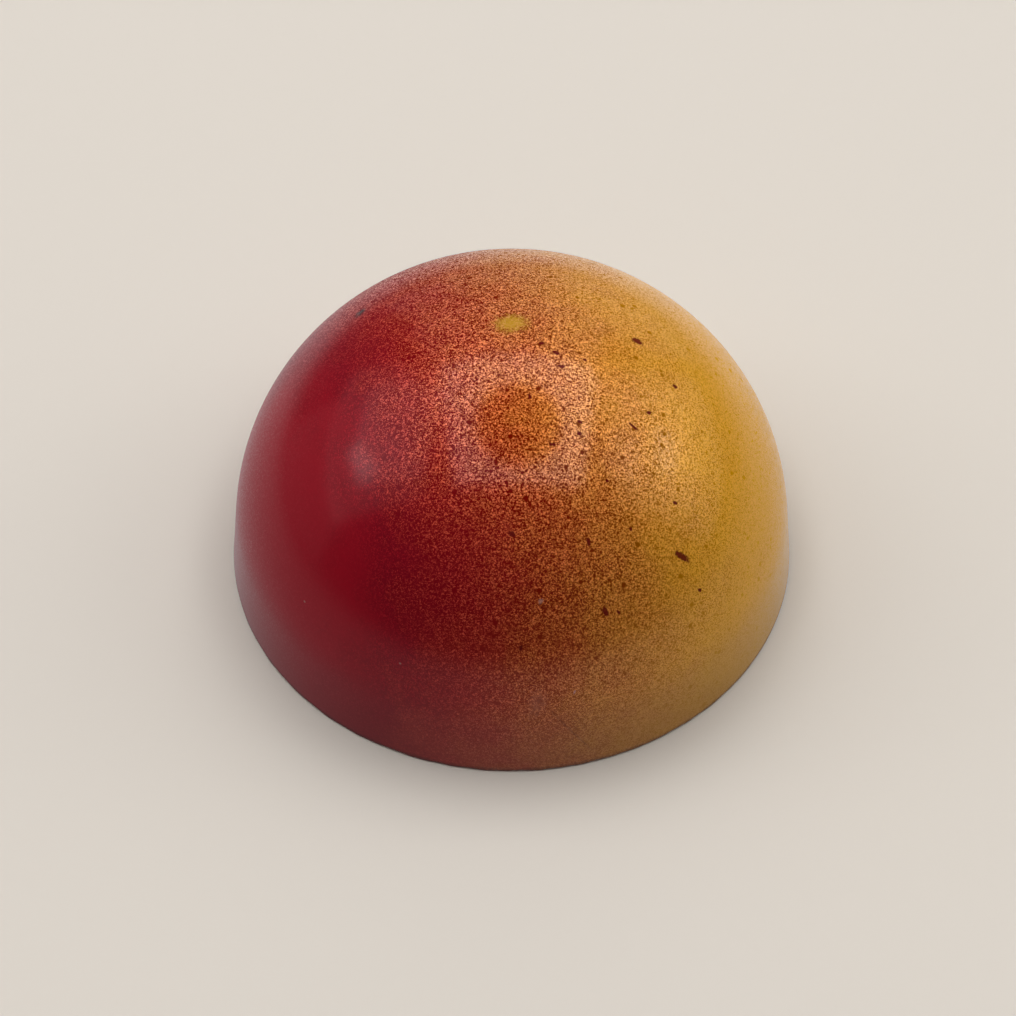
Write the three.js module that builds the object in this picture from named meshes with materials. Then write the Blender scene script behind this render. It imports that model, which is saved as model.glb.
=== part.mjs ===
// A moulded chocolate praline: a filled half-round dome, sprayed in colour, standing on a thin sole
// of dark chocolate, the layer that closes the mould.
// Millimetres, +Z up, origin in the middle of the underside. The sprayed ruby side faces -X and the
// gold side +X, so the praline is looked at from -Y with ruby on the left.

import * as THREE from "three";

// ---- Driving dimensions -------------------------------------------------------------------------

const BASE_DIAMETER = 29.0; // across the mould's mouth, at the bottom of the dome
const HEIGHT = 16.2; // from the underside of the sole to the top of the dome
const SKIRT_HEIGHT = 2.3; // the nearly straight band below the dome, sole included
const DRAFT_DEG = 5.0; // how far the band leans in, so that the praline leaves its mould
const SOLE_THICKNESS = 0.35; // the band of dark chocolate that shows under the colour
const SOLE_CHAMFER = 0.08; // the scraped lower edge of the sole

// The sole was scraped level by hand, so its rim is uneven: long swells and short nicks.
const RIM_PROUD = 0.04; // how far the rim stands out from the dome on average
const RIM_SWELL = 0.025; // height of the long swells
const RIM_NICK = 0.03; // height of the short nicks
const RIM_SEED = 7;

// ---- Fineness -----------------------------------------------------------------------------------

const TURN_STEPS = 96; // steps round the dome
const DOME_STEPS = 18; // steps from the band up to the top of the dome
const RIM_STEPS = 192; // steps round the sole, fine enough for the nicks
const SWELL_WAVES = [3, 5, 8]; // swells round the rim, in waves for each turn
const NICK_WAVES = [31, 43, 61]; // nicks round the rim, in waves for each turn

// ---- Worked out ---------------------------------------------------------------------------------

const BASE_RADIUS = BASE_DIAMETER / 2;
const DRAFT = THREE.MathUtils.degToRad(DRAFT_DEG);
const DOME_RADIUS = BASE_RADIUS - SKIRT_HEIGHT * Math.tan(DRAFT);
const DOME_RISE = HEIGHT - SKIRT_HEIGHT;

// The wall's radius at a height within the band.
function bandRadius(z) {
  return BASE_RADIUS - z * Math.tan(DRAFT);
}

// A profile of [radius, height] pairs turned about +Z into a closed solid.
// It runs from the axis at the bottom to the axis at the top.
function turned(profile, steps) {
  const points = profile.map(([radius, height]) => new THREE.Vector2(radius, height));
  const geometry = new THREE.LatheGeometry(points, steps);
  return geometry.rotateX(Math.PI / 2);
}

// The dome's profile: flat underneath, a leaning band, then a slightly flattened half circle.
function domeProfile() {
  const profile = [
    [0, SOLE_THICKNESS],
    [bandRadius(SOLE_THICKNESS), SOLE_THICKNESS],
  ];
  for (let step = 0; step <= DOME_STEPS; step++) {
    const rise = (step / DOME_STEPS) * (Math.PI / 2);
    const radius = step === DOME_STEPS ? 0 : DOME_RADIUS * Math.cos(rise);
    profile.push([radius, SKIRT_HEIGHT + DOME_RISE * Math.sin(rise)]);
  }
  return profile;
}

// The sole's profile: a thin disc with its lower edge scraped off.
function soleProfile() {
  return [
    [0, 0],
    [BASE_RADIUS - SOLE_CHAMFER, 0],
    [BASE_RADIUS, SOLE_CHAMFER],
    [bandRadius(SOLE_THICKNESS), SOLE_THICKNESS],
    [0, SOLE_THICKNESS],
  ];
}

// A repeatable random number from 0 to 1.
function randomFrom(seed) {
  let state = seed;
  return () => {
    state = (state * 1664525 + 1013904223) % 4294967296;
    return state / 4294967296;
  };
}

// A sum of waves round the rim, each with its own phase, that stays within -1 and 1.
function waveSum(waves, random) {
  const phases = waves.map(() => random() * 2 * Math.PI);
  return (angle) =>
    waves.reduce((sum, wave, i) => sum + Math.sin(wave * angle + phases[i]), 0) / waves.length;
}

// How far the rim stands out from the dome at an angle round it.
function rimOffset() {
  const random = randomFrom(RIM_SEED);
  const swell = waveSum(SWELL_WAVES, random);
  const nick = waveSum(NICK_WAVES, random);
  return (angle) => RIM_PROUD + RIM_SWELL * swell(angle) + RIM_NICK * nick(angle);
}

// Moves the outer edge of the sole in and out, and leaves its middle flat.
function roughenRim(geometry) {
  const position = geometry.getAttribute("position");
  const offset = rimOffset();
  for (let i = 0; i < position.count; i++) {
    const x = position.getX(i);
    const y = position.getY(i);
    const radius = Math.hypot(x, y);
    if (radius < BASE_RADIUS / 2) continue;
    const share = 1 + offset(Math.atan2(y, x)) / radius;
    position.setXY(i, x * share, y * share);
  }
  geometry.computeVertexNormals();
  return geometry;
}

// ---- The pieces ---------------------------------------------------------------------------------

function makeDome() {
  const sprayedChocolate = new THREE.MeshStandardMaterial({
    color: 0xa3532b,
    roughness: 0.32,
    metalness: 0.0,
  });
  const dome = new THREE.Mesh(turned(domeProfile(), TURN_STEPS), sprayedChocolate);
  dome.name = "dome";
  return dome;
}

function makeSole() {
  const darkChocolate = new THREE.MeshStandardMaterial({
    color: 0x2e1710,
    roughness: 0.5,
    metalness: 0.0,
  });
  const sole = new THREE.Mesh(roughenRim(turned(soleProfile(), RIM_STEPS)), darkChocolate);
  sole.name = "sole";
  return sole;
}

const praline = new THREE.Group();
praline.add(makeDome(), makeSole());

export default praline;
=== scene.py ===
"""A moulded chocolate praline: a ruby dome misted with gold, closed by a thin sole of dark chocolate.

The dome and the sole stand in for the solids of the same names. Sizes are in millimetres and are
turned to metres where a mesh or a light is made.
"""

import math

import bmesh
import bpy
from mathutils import Matrix, Quaternion, Vector, noise


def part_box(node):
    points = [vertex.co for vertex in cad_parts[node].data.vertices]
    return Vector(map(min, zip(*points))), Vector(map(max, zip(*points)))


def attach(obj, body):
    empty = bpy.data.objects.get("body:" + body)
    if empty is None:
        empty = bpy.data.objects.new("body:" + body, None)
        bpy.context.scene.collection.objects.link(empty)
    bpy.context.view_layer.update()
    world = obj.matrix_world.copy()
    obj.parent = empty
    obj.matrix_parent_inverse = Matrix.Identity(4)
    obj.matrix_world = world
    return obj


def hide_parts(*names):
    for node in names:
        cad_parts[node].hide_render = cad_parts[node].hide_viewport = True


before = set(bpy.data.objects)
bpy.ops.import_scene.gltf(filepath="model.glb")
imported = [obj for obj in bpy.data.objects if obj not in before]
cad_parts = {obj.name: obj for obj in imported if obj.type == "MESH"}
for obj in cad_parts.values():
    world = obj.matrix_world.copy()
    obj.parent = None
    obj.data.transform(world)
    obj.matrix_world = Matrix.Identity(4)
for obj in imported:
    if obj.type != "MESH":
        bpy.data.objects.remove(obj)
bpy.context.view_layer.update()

MM = 0.001
SAME_PLACE = 1e-4  # points closer than this, in millimetres, count as one

# ---- Sizes, from the solids ---------------------------------------------------------------------

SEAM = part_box("dome")[0].z / MM  # the height where the dome meets its sole
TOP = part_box("dome")[1].z / MM
MOUTH_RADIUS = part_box("dome")[1].x / MM  # the dome's radius at the seam
SKIRT_HEIGHT = 2.3  # the height where the rounded part starts, above the leaning band
DRAFT = math.radians(5.0)  # how far the band leans in
DOME_RADIUS = MOUTH_RADIUS - (SKIRT_HEIGHT - SEAM) * math.tan(DRAFT)
DOME_RISE = TOP - SKIRT_HEIGHT
DOME_CENTRE = Vector((0.0, 0.0, SKIRT_HEIGHT))
BAND_TOP = math.radians(4.0)  # how far round the circle the band takes over from the dome

# The colour laps down over the sole, with an uneven lower edge.
LAP_HEIGHT = 0.24
LAP_THICKNESS = 0.08
LAP_UNEVEN = 0.06  # how far the lower edge wavers up and down
LAP_UNEVEN_LENGTH = 0.9
LAP_SEED = 8.0

# The sole was scraped level by hand, which left its rim uneven and drag marks across its underside.
SWELL_HEIGHT = 0.02
SWELL_LENGTH = 6.0
SWELL_SEED = 1.0
NICK_HEIGHT = 0.04
NICK_LENGTH = 0.6
NICK_SEED = 2.0
NICK_CHANGE = 2.0  # how fast the nicks change with height
GROOVE_DEPTH = 0.025
GROOVE_WIDTH = 0.9
GROOVE_LENGTH = 14.0
GROOVE_SEED = 5.0
GROOVE_LEVEL = 0.35  # raises the noise, so that grooves take more of the underside
GROOVE_FADE = 1.5  # the grooves fade out over this width before the rim


# ---- Small helpers ------------------------------------------------------------------------------

def linear(hex_colour):
    """An sRGB colour such as "#8a1020" as the linear RGBA that Blender takes."""
    channels = [int(hex_colour[i:i + 2], 16) / 255 for i in (1, 3, 5)]
    return [c / 12.92 if c <= 0.04045 else ((c + 0.055) / 1.055) ** 2.4 for c in channels] + [1.0]


def add(tree, kind, inputs=None, **settings):
    """Adds a node. An input is a value, a socket, or a node whose first output is taken."""
    made = tree.nodes.new("ShaderNode" + kind)
    for name, value in settings.items():
        setattr(made, name, value)
    for key, value in (inputs or {}).items():
        if isinstance(value, bpy.types.Node):
            value = value.outputs[0]
        if isinstance(value, bpy.types.NodeSocket):
            tree.links.new(value, made.inputs[key])
        else:
            made.inputs[key].default_value = value
    return made


def new_material(name):
    """A new node material and its Principled shader."""
    material = bpy.data.materials.new(name)
    material.use_nodes = True
    return material, material.node_tree.nodes["Principled BSDF"]


def finished(bm, name, material):
    """Turns a bmesh in millimetres into a smooth-shaded object in metres, in its place."""
    bmesh.ops.recalc_face_normals(bm, faces=bm.faces)
    bmesh.ops.scale(bm, vec=(MM, MM, MM), verts=bm.verts)
    mesh = bpy.data.meshes.new(name)
    bm.to_mesh(mesh)
    bm.free()
    mesh.shade_smooth()
    piece = bpy.data.objects.new(name, mesh)
    bpy.context.scene.collection.objects.link(piece)
    piece.data.materials.append(material)
    return piece


def section_line(bm, points):
    """A chain of edges through points of [radius, height]."""
    verts = [bm.verts.new((radius, 0.0, height)) for radius, height in points]
    for pair in zip(verts, verts[1:]):
        bm.edges.new(pair)


def turned(bm, steps):
    """Turns a half section about +Z: an eighth of the way by a spin, which is then doubled."""
    eighth = math.pi / 4
    bmesh.ops.spin(
        bm,
        geom=bm.verts[:] + bm.edges[:],
        cent=(0, 0, 0),
        axis=(0, 0, 1),
        angle=eighth,
        steps=steps // 8,
    )
    for angle in (eighth, 2 * eighth, 4 * eighth):
        copied = bmesh.ops.duplicate(bm, geom=bm.verts[:] + bm.edges[:] + bm.faces[:])["geom"]
        bmesh.ops.rotate(
            bm,
            cent=(0, 0, 0),
            matrix=Matrix.Rotation(angle, 3, "Z"),
            verts=[part for part in copied if isinstance(part, bmesh.types.BMVert)],
        )
    bmesh.ops.remove_doubles(bm, verts=bm.verts, dist=SAME_PLACE)


def rim_noise(angle, length, seed):
    """Uneven along the rim, from -1 to 1, with bumps of about a length in millimetres."""
    gain = 1.6  # brings the usual reach of the noise up to about 1
    reach = MOUTH_RADIUS / length
    at = Vector((math.cos(angle) * reach, math.sin(angle) * reach, seed))
    return max(-1.0, min(1.0, gain * noise.noise(at)))


# ---- The dome -----------------------------------------------------------------------------------

DOME_TURN_STEPS = 480
DOME_RISE_STEPS = 72
BAND_STEPS = 8
SHARP_ANGLE = math.radians(40)


def make_dome():
    """Flat below, a leaning band that runs smoothly into a slightly flattened quarter circle."""
    lean = DOME_RADIUS / DOME_RISE * math.tan(BAND_TOP)
    band_top = (DOME_RADIUS * math.cos(BAND_TOP), SKIRT_HEIGHT + DOME_RISE * math.sin(BAND_TOP))
    low = SEAM - LAP_HEIGHT
    inner = MOUTH_RADIUS - LAP_THICKNESS
    section = [(0.0, SEAM), (inner, SEAM), (inner, low)]
    for step in range(BAND_STEPS):
        height = low + (band_top[1] - low) * step / BAND_STEPS
        section.append((band_top[0] + (band_top[1] - height) * lean, height))
    for step in range(DOME_RISE_STEPS + 1):
        rise = BAND_TOP + (math.pi / 2 - BAND_TOP) * step / DOME_RISE_STEPS
        radius = 0.0 if step == DOME_RISE_STEPS else DOME_RADIUS * math.cos(rise)
        section.append((radius, SKIRT_HEIGHT + DOME_RISE * math.sin(rise)))
    bm = bmesh.new()
    section_line(bm, section)
    turned(bm, DOME_TURN_STEPS)
    for vert in bm.verts:
        if vert.co.z < low + SAME_PLACE:
            angle = math.atan2(vert.co.y, vert.co.x)
            vert.co.z += LAP_UNEVEN * rim_noise(angle, LAP_UNEVEN_LENGTH, LAP_SEED)
    piece = finished(bm, "sprayed_dome", sprayed_cocoa_butter())
    piece.data.set_sharp_from_angle(angle=SHARP_ANGLE)
    return piece


# ---- The sole -----------------------------------------------------------------------------------

SOLE_TURN_STEPS = 720
SOLE_RINGS = 56
FLAT_INSET = 0.35  # the flat underside ends this far in from the dome's mouth
# The scraped edge, from the underside up: how far in from the dome's mouth, and how high.
SCRAPED_EDGE = [(0.16, 0.0), (0.09, 0.02), (0.05, 0.07), (0.06, 0.13)]
SIDE_GAP = 0.03  # between the sole's side and the inside of the lap
TOP_INSET = 0.4
TOP_GAP = 0.01  # between the top of the sole and the dome
ROUGH_WIDTH = 0.12  # the rim is rough this far in from the dome's mouth
ROUGH_HEIGHT = 0.15  # and up to this height


def make_sole():
    """A disc turned from its half section, its rim roughened and its underside dragged."""
    flat = MOUTH_RADIUS - FLAT_INSET
    side = MOUTH_RADIUS - LAP_THICKNESS - SIDE_GAP
    top = SEAM - TOP_GAP
    section = [(ring * flat / SOLE_RINGS, 0.0) for ring in range(SOLE_RINGS + 1)]
    section += [(MOUTH_RADIUS - inset, height) for inset, height in SCRAPED_EDGE]
    section += [
        (side, SEAM - LAP_HEIGHT - LAP_UNEVEN),
        (side, top),
        (MOUTH_RADIUS - TOP_INSET, top),
        (0.0, top),
    ]
    bm = bmesh.new()
    section_line(bm, section)
    turned(bm, SOLE_TURN_STEPS)
    for vert in bm.verts:
        roughen(vert, flat)
    return finished(bm, "dark_sole", dark_chocolate())


def roughen(vert, flat):
    """Moves a point of the sole: its rim in and out, and its flat underside up."""
    radius = math.hypot(vert.co.x, vert.co.y)
    angle = math.atan2(vert.co.y, vert.co.x)
    if radius > MOUTH_RADIUS - ROUGH_WIDTH and vert.co.z < ROUGH_HEIGHT:
        swell = SWELL_HEIGHT * rim_noise(angle, SWELL_LENGTH, SWELL_SEED)
        nick_seed = NICK_SEED + vert.co.z * NICK_CHANGE
        nick = NICK_HEIGHT * rim_noise(angle, NICK_LENGTH, nick_seed)
        vert.co.x += (swell + nick) * math.cos(angle)
        vert.co.y += (swell + nick) * math.sin(angle)
    elif vert.co.z < SAME_PLACE:
        calm = max(0.0, min(1.0, (flat - radius) / GROOVE_FADE))
        at = Vector((vert.co.x / GROOVE_LENGTH, vert.co.y / GROOVE_WIDTH, GROOVE_SEED))
        vert.co.z += GROOVE_DEPTH * calm * max(0.0, GROOVE_LEVEL + noise.noise(at))


# ---- The spray ----------------------------------------------------------------------------------

# How much gold covers the film is a sum, which is turned to a cover of 0 to 1 between -GOLD_REACH and
# GOLD_REACH. The gold was sprayed from the right, a little from behind and from below: GOLD_FROM is
# what the sum gains along each axis over the dome's radius, and GOLD_BIAS is the sum in its middle.
GOLD_FROM = Vector((5.47, 1.76, -1.13))
GOLD_BIAS = 0.08
GOLD_REACH = 5.0
CLOUD_SIZE = 2.4  # soft patches where the mist lies thicker or thinner
CLOUD_DEPTH = 2.0  # what the patches add to the sum, from the thinnest to the thickest
GOLD_PUFF = Vector((-2.9, -4.3, 12.9))  # the middle of a second, short puff of mist
GOLD_PUFF_REACH = 7.9
GOLD_PUFF_SHARE = 0.71  # what the puff adds to the sum at its middle

# The film between the grains and the grains, from the ruby side to the gold side.
FILM = [
    (0, "#870015"),
    (0.1, "#700012"),
    (0.2, "#6f010a"),
    (0.28, "#6c0405"),
    (0.36, "#660c00"),
    (0.5, "#6b2700"),
    (0.635, "#895100"),
    (0.77, "#a26c05"),
    (0.85, "#b37e07"),
    (0.92, "#c08b07"),
]
GRAINS = [
    (0, "#91051a"),
    (0.1, "#a0131f"),
    (0.2, "#ca4433"),
    (0.28, "#da5d3a"),
    (0.36, "#e3753b"),
    (0.5, "#e59039"),
    (0.635, "#df9832"),
    (0.77, "#dd9d23"),
    (0.85, "#de9d1e"),
    (0.92, "#db9b19"),
]

# The grains are noise: a grain is full above the second level and ends at the first.
GRAIN_SIZE = 0.09  # the real droplets of mist are finer, but wouldn't show
GRAIN_HEIGHT = 0.003  # how far a grain stands out of the film
GRAIN_LEVELS = (0.475, 0.585)
CROWD_COVERS = (0.25, 0.75)  # from the first cover to the second, the grains crowd together
CROWD_SHIFTS = (-0.035, 0.055)  # what that adds to the noise

RAGS_PER_MM = 6.0  # how often the edge of a pit or a mark wavers
RAG_DEPTH = 1.4  # how deep, in the reach of a mark
PIT_SPACING = 0.7  # bare pits where a droplet burst
PIT_RADIUS = 0.2  # of the largest, as a share of the spacing
PIT_RAG = 0.12
PIT_EDGE = (-0.03, 0.05)

# Towards the foot the mist was wetter: from the second height down to the first, the grains lose
# their sharpness and run together into an even share.
WET_HEIGHTS = (1.0, 10.0)
WET_SHARPNESS = (0.3, 1.0)
WET_SHARE = 0.45

# How glossy the coat is: on the bare film, in the gaps between grains, and on the grains. The last
# falls from the first value to the second as the gold closes.
FILM_GLOSS = 0.36
GAP_GLOSS = 0.07
GRAIN_GLOSS = (1.0, 0.8)
CLOSING_COVERS = (0.5, 0.75)
SPECKLED_COVERS = (0.1, 0.35)  # from the first cover to the second, grains take over from the film
GRAIN_METAL = 0.4


# ---- Marks on the dome --------------------------------------------------------------------------

# Bearing from the front towards the right and height, as degrees, then length and width in
# millimetres, and the turn of the length against the level, in degrees.
FLECKS = [
    (45, 33, 1.10, 0.36, -60),
    (104, 63, 0.62, 0.40, 65),
    (22, 30, 0.47, 0.30, -75),
    (0, 49, 0.36, 0.27, -47),
    (22, 45, 0.43, 0.21, 81),
    (58, 60, 0.66, 0.14, -85),
    (80, 81, 0.36, 0.25, 81),
    (16, 77, 0.30, 0.20, -80),
    (64, 79, 0.40, 0.20, -68),
    (86, 55, 0.31, 0.25, 83),
    (68, 59, 0.31, 0.22, -44),
    (35, 66, 0.28, 0.20, -62),
    (20, 66, 0.34, 0.16, -24),
    (39, 68, 0.30, 0.16, -64),
    (2, 25, 0.38, 0.15, 82),
    (51, 43, 0.26, 0.18, -70),
    (25, 29, 0.26, 0.14, -61),
    (97, 84, 0.26, 0.18, -89),
    (35, 55, 0.22, 0.16, 76),
    (35, 44, 0.22, 0.16, 64),
    (46, 24, 0.28, 0.18, -57),
    (81, 75, 0.22, 0.16, 76),
]
GOLD_PATCH = [(-179, 84.0, 1.5, 1.15, 10)]
STAIN = [(-123, 50, 0.7, 0.55, 10)]
HAZE = [(5, 11, 1.7, 0.9, 80)]
SCRATCH = [(12, 2, 4.4, 0.11, -59)]
PALE_SPECKS = [
    (7, 35, 0.32, 0.24, 30),
    (-24, 17, 0.16, 0.12, 0),
    (-50, 18, 0.14, 0.12, 0),
    (13, 13, 0.3, 0.12, 70),
]

# Each kind of mark: its colour, the reach where it starts to fade and the reach where it is gone, how
# much it hides, and what a grain adds to the reach. The flecks stay last, as their gloss is set too.
MARKS = [
    (GOLD_PATCH, "#ad8420", 0.45, 1.2, 0.75, -0.5),  # a gold patch near the top, towards the back
    (STAIN, "#1e1214", 0.4, 1.4, 0.9, 0.0),  # a dull touch on the ruby
    (HAZE, "#a5735f", 0.2, 1.4, 0.2, 0.0),
    (SCRATCH, "#4c2413", 0.5, 1.4, 0.28, 0.0),
    (PALE_SPECKS, "#a08076", 0.4, 1.2, 0.5, 0.0),
    (FLECKS, "#560f0b", 0.8, 1.15, 0.95, 0.0),  # bare film where a droplet of mist burst
]
FLECK_GLOSS = 0.1

# The chocolate is smeared over the lowest edge of the colour. The lower part of the dome is also
# darkened towards the chocolate's colour, which is painted shade: darker towards the bottom.
# Each is strongest up to the first height and gone at the second.
CHOCOLATE_AND_SHADE = "#2c130c"
SMEAR_HEIGHTS = (0.12, 0.36)
SMEAR_SHARE = 0.6
SMEAR_RAG = 0.12
# Painted shade, darker towards the bottom of the dome:
PAINTED_SHADE_HEIGHTS = (0.5, 5.0)
PAINTED_SHADE_SHARE = 0.34


def mark_reach(tree, place, marks):
    """How far a point lies from the nearest mark's middle, where 1 is the mark's outline."""
    nearest = None
    for bearing, height, length, width, turn in marks:
        around = math.radians(bearing)
        rise = math.radians(height)
        twist = math.radians(turn)
        x = math.cos(rise) * math.sin(around)
        y = -math.cos(rise) * math.cos(around)
        z = math.sin(rise)
        outward = Vector((x, y, z * DOME_RADIUS / DOME_RISE)).normalized()
        level = Vector((math.cos(around), math.sin(around), 0.0))
        along = level * math.cos(twist) + outward.cross(level) * math.sin(twist)
        axes = Matrix((along, outward.cross(along), outward)).transposed()
        at = add(
            tree,
            "Mapping",
            {
                "Vector": place,
                "Location": Vector((x * DOME_RADIUS, y * DOME_RADIUS, z * DOME_RISE)),
                "Rotation": axes.to_euler(),
                "Scale": (length / 2, width / 2, length / 2),
            },
            vector_type="TEXTURE",
        )
        reach = add(tree, "VectorMath", {0: at}, operation="LENGTH").outputs["Value"]
        if nearest is not None:
            reach = add(tree, "Math", {0: nearest, 1: reach}, operation="MINIMUM").outputs[0]
        nearest = reach
    return nearest


def gold_cover(tree, place, from_centre):
    """How much gold covers the film, from 0 to 1."""
    lean = add(
        tree,
        "VectorMath",
        {0: from_centre, 1: GOLD_FROM / DOME_RADIUS},
        operation="DOT_PRODUCT",
    )
    clouds = add(
        tree, "TexNoise", {"Vector": place, "Scale": 1 / CLOUD_SIZE, "Detail": 3.0, "Roughness": 0.6}
    )
    cloud_shift = add(
        tree,
        "Math",
        {0: clouds.outputs["Fac"], 1: CLOUD_DEPTH, 2: -CLOUD_DEPTH / 2 + GOLD_BIAS},
        operation="MULTIPLY_ADD",
    )
    total = add(tree, "Math", {0: lean.outputs["Value"], 1: cloud_shift}, operation="ADD")
    from_puff = add(tree, "VectorMath", {0: from_centre, 1: GOLD_PUFF}, operation="DISTANCE")
    puff = add(
        tree,
        "MapRange",
        {
            "Value": from_puff.outputs["Value"],
            "From Max": GOLD_PUFF_REACH,
            "To Min": GOLD_PUFF_SHARE,
            "To Max": 0.0,
        },
        interpolation_type="SMOOTHSTEP",
    )
    total = add(tree, "Math", {0: total, 1: puff}, operation="ADD")
    return add(
        tree, "MapRange", {"Value": total, "From Min": -GOLD_REACH, "From Max": GOLD_REACH}
    )


def grain_share(tree, place, height, cover, wobble):
    """How far a point belongs to a grain, from 0 on the bare film to 1."""
    grains = add(
        tree,
        "TexNoise",
        {
            "Vector": place,
            "Scale": 1 / GRAIN_SIZE,
            "Detail": 2.0,
            "Roughness": 0.65,
            "Distortion": 1.2,
        },
    )
    crowd = add(
        tree,
        "MapRange",
        {
            "Value": cover,
            "From Min": CROWD_COVERS[0],
            "From Max": CROWD_COVERS[1],
            "To Min": CROWD_SHIFTS[0],
            "To Max": CROWD_SHIFTS[1],
        },
    )
    crowded = add(tree, "Math", {0: grains.outputs["Fac"], 1: crowd}, operation="ADD")
    share = add(
        tree,
        "MapRange",
        {"Value": crowded, "From Min": GRAIN_LEVELS[0], "From Max": GRAIN_LEVELS[1]},
        interpolation_type="SMOOTHSTEP",
    )

    pits = add(tree, "TexVoronoi", {"Vector": place, "Scale": 1 / PIT_SPACING})
    size = add(tree, "SeparateColor", {0: pits.outputs["Color"]}).outputs["Red"]
    edge = add(
        tree,
        "Math",
        {0: size, 1: -PIT_RADIUS, 2: pits.outputs["Distance"]},
        operation="MULTIPLY_ADD",
    )
    edge = add(tree, "Math", {0: wobble, 1: PIT_RAG, 2: edge}, operation="MULTIPLY_ADD")
    closed = add(
        tree, "MapRange", {"Value": edge, "From Min": PIT_EDGE[0], "From Max": PIT_EDGE[1]}
    )
    share = add(tree, "Math", {0: share, 1: closed}, operation="MULTIPLY")

    sharpness = add(
        tree,
        "MapRange",
        {
            "Value": height,
            "From Min": WET_HEIGHTS[0],
            "From Max": WET_HEIGHTS[1],
            "To Min": WET_SHARPNESS[0],
            "To Max": WET_SHARPNESS[1],
        },
    )
    return add(tree, "Mix", {"Factor": sharpness, "A": WET_SHARE, "B": share}).outputs[0]


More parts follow.
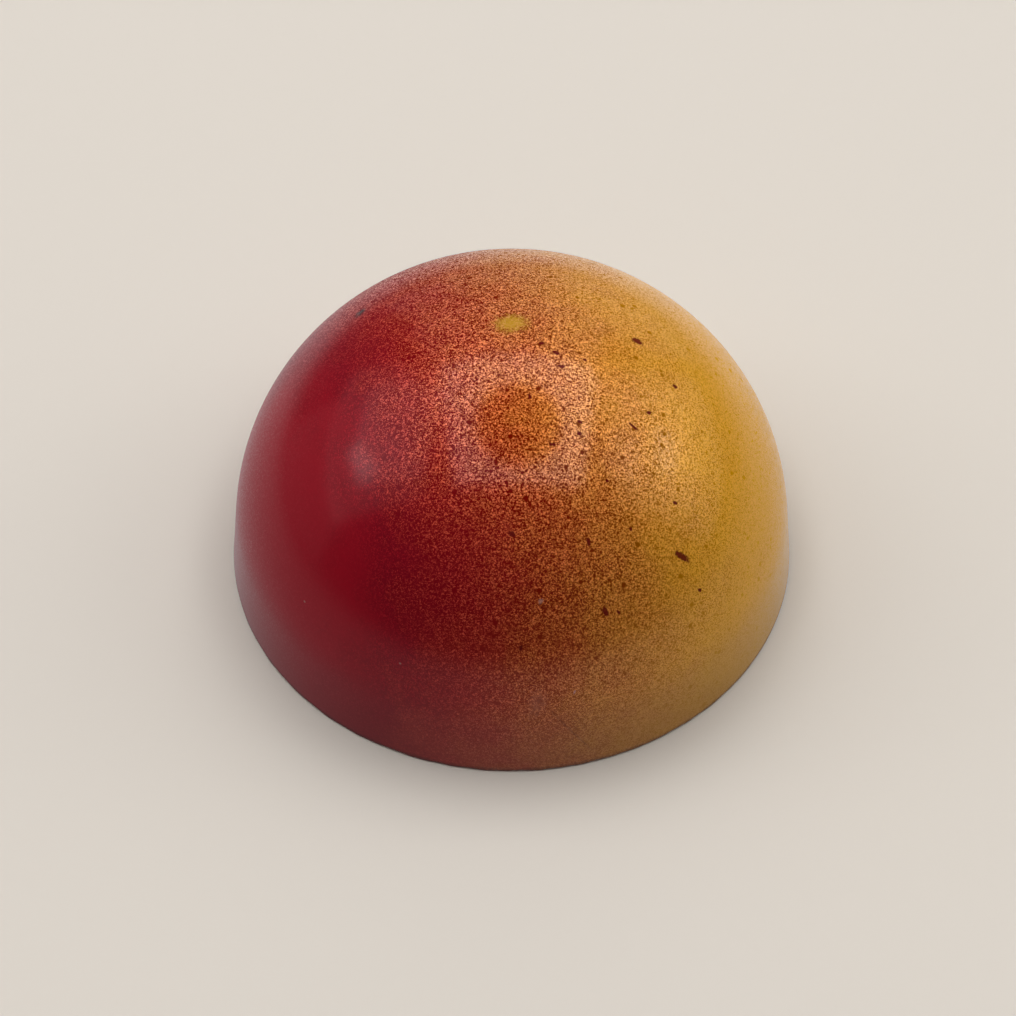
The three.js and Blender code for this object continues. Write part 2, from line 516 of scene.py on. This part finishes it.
def sprayed_cocoa_butter():
    """Coloured cocoa butter, sprayed into the mould: a ruby film, and gold mica mist over it.

    The mist grows from single grains to a closed gold coat. The film took the mould's polish, so it
    has a thin, even gloss. The grains shine most, with a hint of metal from the mica, and the gaps
    between them hardly shine. Chocolate is smeared over the lowest edge of the colour, and the
    colour darkens towards the mouth as painted shade.
    """
    material, shader = new_material("sprayed_cocoa_butter")
    tree = material.node_tree
    place = add(tree, "TexCoord").outputs["Object"]
    place = add(tree, "Mapping", {"Vector": place, "Scale": (1 / MM,) * 3}).outputs[0]
    height = add(tree, "SeparateXYZ", {0: place}).outputs["Z"]
    from_centre = add(tree, "VectorMath", {0: place, 1: DOME_CENTRE}, operation="SUBTRACT")
    from_centre = from_centre.outputs[0]
    wobble = add(tree, "TexNoise", {"Vector": place, "Scale": RAGS_PER_MM, "Detail": 2.0})
    wobble = add(
        tree,
        "Math",
        {0: wobble.outputs["Fac"], 1: RAG_DEPTH, 2: -RAG_DEPTH / 2},
        operation="MULTIPLY_ADD",
    )
    cover = gold_cover(tree, place, from_centre)
    share = grain_share(tree, place, height, cover, wobble)

    ramps = []
    for stops in (FILM, GRAINS):
        ramp = add(tree, "ValToRGB", {"Fac": cover})
        elements = ramp.color_ramp.elements
        for stop in stops[2:]:
            elements.new(stop[0])
        for element, (at, hex_colour) in zip(elements, stops):
            element.position = at
            element.color = linear(hex_colour)
        ramps.append(ramp.outputs["Color"])
    colour = add(tree, "Mix", {"Factor": share, "A": ramps[0], "B": ramps[1]}, data_type="RGBA")

    speckled = add(
        tree,
        "MapRange",
        {"Value": cover, "From Min": SPECKLED_COVERS[0], "From Max": SPECKLED_COVERS[1]},
    )
    full_gloss = add(
        tree,
        "MapRange",
        {
            "Value": cover,
            "From Min": CLOSING_COVERS[0],
            "From Max": CLOSING_COVERS[1],
            "To Min": GRAIN_GLOSS[0],
            "To Max": GRAIN_GLOSS[1],
        },
    )
    grain_gloss = add(tree, "MapRange", {"Value": share, "To Min": GAP_GLOSS, "To Max": full_gloss})
    gloss = add(tree, "Mix", {"Factor": speckled, "A": FILM_GLOSS, "B": grain_gloss})
    metal = add(tree, "Math", {0: share, 1: GRAIN_METAL}, operation="MULTIPLY")

    for marks, hex_colour, inner, outer, strength, grainy in MARKS:
        reach = mark_reach(tree, from_centre, marks)
        reach = add(tree, "Math", {0: reach, 1: wobble}, operation="ADD")
        reach = add(tree, "Math", {0: share, 1: grainy, 2: reach}, operation="MULTIPLY_ADD")
        mark = add(
            tree,
            "MapRange",
            {
                "Value": reach,
                "From Min": inner,
                "From Max": outer,
                "To Min": strength,
                "To Max": 0.0,
            },
        )
        colour = add(
            tree,
            "Mix",
            {"Factor": mark, "A": colour.outputs["Result"], "B": linear(hex_colour)},
            data_type="RGBA",
        )
    gloss = add(tree, "Mix", {"Factor": mark, "A": gloss.outputs[0], "B": FLECK_GLOSS})
    metal = add(tree, "Mix", {"Factor": mark, "A": metal.outputs[0], "B": 0.0})

    # First the smeared chocolate, then painted shade that darkens the colour towards the bottom.
    smeared = add(tree, "Math", {0: wobble, 1: SMEAR_RAG, 2: height}, operation="MULTIPLY_ADD")
    for level, (full, gone), most in (
        (smeared, SMEAR_HEIGHTS, SMEAR_SHARE),
        (height, PAINTED_SHADE_HEIGHTS, PAINTED_SHADE_SHARE),
    ):
        chocolate = add(
            tree,
            "MapRange",
            {"Value": level, "From Min": full, "From Max": gone, "To Min": most, "To Max": 0.0},
        )
        colour = add(
            tree,
            "Mix",
            {"Factor": chocolate, "A": colour.outputs["Result"], "B": linear(CHOCOLATE_AND_SHADE)},
            data_type="RGBA",
        )
    relief = add(tree, "Math", {0: share, 1: speckled}, operation="MULTIPLY")
    tilt = add(tree, "Bump", {"Height": relief, "Strength": 1.0, "Distance": GRAIN_HEIGHT * MM})

    tree.links.new(colour.outputs["Result"], shader.inputs["Base Color"])
    tree.links.new(metal.outputs[0], shader.inputs["Metallic"])
    tree.links.new(gloss.outputs[0], shader.inputs["Coat Weight"])
    tree.links.new(tilt.outputs[0], shader.inputs["Normal"])
    shader.inputs["Roughness"].default_value = 0.32
    shader.inputs["Specular IOR Level"].default_value = 0.0
    shader.inputs["Coat Roughness"].default_value = 0.17
    shader.inputs["Coat IOR"].default_value = 1.5
    return material


# ---- The chocolate ------------------------------------------------------------------------------

STREAK_LENGTH = 8.33
STREAK_WIDTH = 0.4
STREAK_DEPTH = 0.03


def dark_chocolate():
    """Tempered dark chocolate, scraped level with a knife: dull brown, with fine streaks."""
    material, shader = new_material("dark_chocolate")
    tree = material.node_tree
    place = add(tree, "TexCoord").outputs["Object"]
    per_width = 1 / (STREAK_WIDTH * MM)
    streaks_at = add(
        tree,
        "Mapping",
        {"Vector": place, "Scale": (1 / (STREAK_LENGTH * MM), per_width, per_width)},
    )
    streaks = add(
        tree, "TexNoise", {"Vector": streaks_at, "Scale": 1.0, "Detail": 4.0, "Roughness": 0.6}
    )
    colour = add(
        tree,
        "Mix",
        {"Factor": streaks.outputs["Fac"], "A": linear("#4a2416"), "B": linear("#6e3c26")},
        data_type="RGBA",
    )
    tilt = add(
        tree,
        "Bump",
        {"Height": streaks.outputs["Fac"], "Strength": 0.5, "Distance": STREAK_DEPTH * MM},
    )
    tree.links.new(colour.outputs["Result"], shader.inputs["Base Color"])
    tree.links.new(tilt.outputs[0], shader.inputs["Normal"])
    shader.inputs["Roughness"].default_value = 0.55
    shader.inputs["IOR"].default_value = 1.35
    return material


# ---- The set ------------------------------------------------------------------------------------

CAMERA_HEIGHT_DEG = 50.6
CAMERA_DISTANCE = 286.0
CAMERA_NEAR = 10.0
CAMERA_FAR = 20000.0
LENS = 195.4
AIM = Vector((-0.19, 0.52, 2.73))
BACKDROP = "#e6ddd2"


def make_camera():
    """Looks at the dome from the front and well above."""
    rise = math.radians(CAMERA_HEIGHT_DEG)
    back = Vector((0, -math.cos(rise), math.sin(rise)))
    lens = bpy.data.cameras.new("camera")
    lens.lens = LENS
    lens.clip_start = CAMERA_NEAR * MM
    lens.clip_end = CAMERA_FAR * MM
    camera = bpy.data.objects.new("camera", lens)
    camera.location = (AIM + back * CAMERA_DISTANCE) * MM
    camera.rotation_euler = (-back).to_track_quat("-Z", "Y").to_euler()
    bpy.context.scene.collection.objects.link(camera)
    bpy.context.scene.camera = camera


LIGHT_DISTANCE = 700.0

# Each soft light: its middle as degrees from overhead and bearing (0 behind, 90 on the right), its
# size as degrees across and along, how far it is turned about its own middle, and its brightness.
SOFT_LIGHTS = {
    "overhead": (8.0, 20.0, 56.0, 54.0, 20.0, 3.65),
    "left": (52.0, -76.0, 46.0, 54.0, -9.0, 0.6),
    "left_low": (84.0, -78.0, 24.0, 44.0, 0.0, 0.25),
    "left_core": (45.0, -76.0, 32.0, 38.0, -9.0, 1.15),
    "right": (62.0, 76.0, 52.0, 54.0, 10.0, 0.65),
    "right_core": (58.0, 77.0, 34.0, 40.0, 10.0, 0.6),
    "right_inner": (42.0, 92.0, 14.0, 18.0, 0.0, 1.0),
    "behind": (48.0, 0.0, 34.0, 52.0, 0.0, 0.8),
    "behind_low": (78.0, 8.0, 30.0, 64.0, 0.0, 0.5),
    "left_spot": (59.0, -85.0, 7.0, 15.0, 25.0, 2.6),
    "right_spot": (60.0, 80.0, 9.0, 15.0, 0.0, 2.3),
}


def direction(tilt, bearing):
    """The way to a point of the set, by its degrees from overhead and its bearing."""
    t, b = math.radians(tilt), math.radians(bearing)
    return Vector((math.sin(t) * math.sin(b), math.sin(t) * math.cos(b), math.cos(t)))


def make_lights():
    """Softboxes round the praline, each an area light of even brightness that faces it."""
    for name, (tilt, bearing, across, along, turn, brightness) in SOFT_LIGHTS.items():
        data = bpy.data.lights.new(name, "AREA")
        data.shape = "RECTANGLE"
        data.size = 2 * LIGHT_DISTANCE * math.tan(math.radians(along / 2)) * MM
        data.size_y = 2 * LIGHT_DISTANCE * math.tan(math.radians(across / 2)) * MM
        data.energy = brightness * data.size * data.size_y * math.pi
        lamp = bpy.data.objects.new(name, data)
        way = direction(tilt, bearing)
        lamp.location = way * LIGHT_DISTANCE * MM
        spin = Quaternion((0, 0, 1), math.radians(turn))
        lamp.rotation_euler = (way.to_track_quat("Z", "Y") @ spin).to_euler()
        lamp.visible_camera = False
        bpy.context.scene.collection.objects.link(lamp)


FLAG_DISTANCE = LIGHT_DISTANCE - 60.0
FLAG_AT = (4.8, 35.0)  # degrees from overhead, and bearing
FLAG_REACH_DEG = 16.2  # from its middle to its edge
FLAG_STRETCH = 1.15  # from front to back
BLACK_CLOTH = "#050505"


def make_flag():
    """A black flag of dull cloth under the overhead light, a little longer than wide."""
    bm = bmesh.new()
    radius = FLAG_DISTANCE * math.tan(math.radians(FLAG_REACH_DEG))
    bmesh.ops.create_circle(bm, cap_ends=True, segments=64, radius=radius)
    bmesh.ops.scale(bm, vec=(1.0, FLAG_STRETCH, 1.0), verts=bm.verts)
    bmesh.ops.translate(bm, vec=direction(*FLAG_AT) * FLAG_DISTANCE, verts=bm.verts)
    material, shader = new_material("black_cloth")
    shader.inputs["Base Color"].default_value = linear(BLACK_CLOTH)
    shader.inputs["Roughness"].default_value = 1.0
    flag = finished(bm, "flag", material)
    flag.visible_camera = False


FLOOR_REACH = 3000.0
PALE_BOARD = "#cac3ba"


def make_floor():
    """A floor of matt, pale board. The praline neither reflects it nor is lit by it."""
    bm = bmesh.new()
    bmesh.ops.create_grid(bm, x_segments=1, y_segments=1, size=FLOOR_REACH)
    material, shader = new_material("pale_board")
    shader.inputs["Base Color"].default_value = linear(PALE_BOARD)
    shader.inputs["Roughness"].default_value = 1.0
    shader.inputs["Specular IOR Level"].default_value = 0.0
    floor = finished(bm, "floor", material)
    floor.visible_glossy = False
    floor.visible_diffuse = False


# The brightness of the surround above, and what is taken off it in front. Below, its brightness, and
# what is added in front and behind, on the right, and behind on the left. It turns from one to the
# other a little under the horizon, between LOW_FROM and LOW_TO.
HIGH_GLOW = 0.25
FRONT_SHADE = 0.14
LOW_GLOW = 0.47
LOW_DEEP_GLOW = 0.22
LOW_RIGHT_GLOW = 0.16
LOW_BEHIND_GLOW = 0.36
BEHIND_LEFT = Vector((-0.5, 0.85, 0.0))
LOW_FROM = -0.09
LOW_TO = -0.28


def make_world():
    """A dim surround, brighter below the horizon. The camera sees the backdrop instead."""
    world = bpy.data.worlds.new("surround")
    world.use_nodes = True
    tree = world.node_tree
    tree.nodes.clear()
    way = add(tree, "TexCoord").outputs["Generated"]
    parts = add(tree, "SeparateXYZ", {0: way})
    deep = add(tree, "Math", {0: parts.outputs["Y"]}, operation="ABSOLUTE")
    right = add(tree, "Math", {0: parts.outputs["X"], 1: 0.0}, operation="MAXIMUM")
    behind = add(tree, "VectorMath", {0: way, 1: BEHIND_LEFT}, operation="DOT_PRODUCT")
    behind = add(tree, "Math", {0: behind.outputs["Value"], 1: 0.0}, operation="MAXIMUM")
    low_glow = LOW_GLOW
    for part, brightness in (
        (deep, LOW_DEEP_GLOW),
        (right, LOW_RIGHT_GLOW),
        (behind, LOW_BEHIND_GLOW),
    ):
        low_glow = add(tree, "Math", {0: part, 1: brightness, 2: low_glow}, operation="MULTIPLY_ADD")
    front = add(tree, "Math", {0: parts.outputs["Y"], 1: 0.0}, operation="MINIMUM")
    high_glow = add(tree, "Math", {0: front, 1: FRONT_SHADE, 2: HIGH_GLOW}, operation="MULTIPLY_ADD")
    glow = add(
        tree,
        "MapRange",
        {
            "Value": parts.outputs["Z"],
            "From Min": LOW_FROM,
            "From Max": LOW_TO,
            "To Min": high_glow,
            "To Max": low_glow,
        },
    )
    ray = add(tree, "LightPath").outputs["Is Camera Ray"]
    seen = add(
        tree,
        "Mix",
        {"Factor": ray, "A": glow.outputs[0], "B": linear(BACKDROP)},
        data_type="RGBA",
    )
    shine = add(tree, "Background", {"Color": seen.outputs["Result"], "Strength": 1.0})
    add(tree, "OutputWorld", {"Surface": shine})
    bpy.context.scene.world = world


# ---- Together -----------------------------------------------------------------------------------

make_camera()
make_lights()
make_flag()
make_floor()
make_world()
bpy.context.scene.view_settings.view_transform = "Standard"

dome = make_dome()
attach(dome, "root")
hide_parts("dome")

sole = make_sole()
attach(sole, "root")
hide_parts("sole")
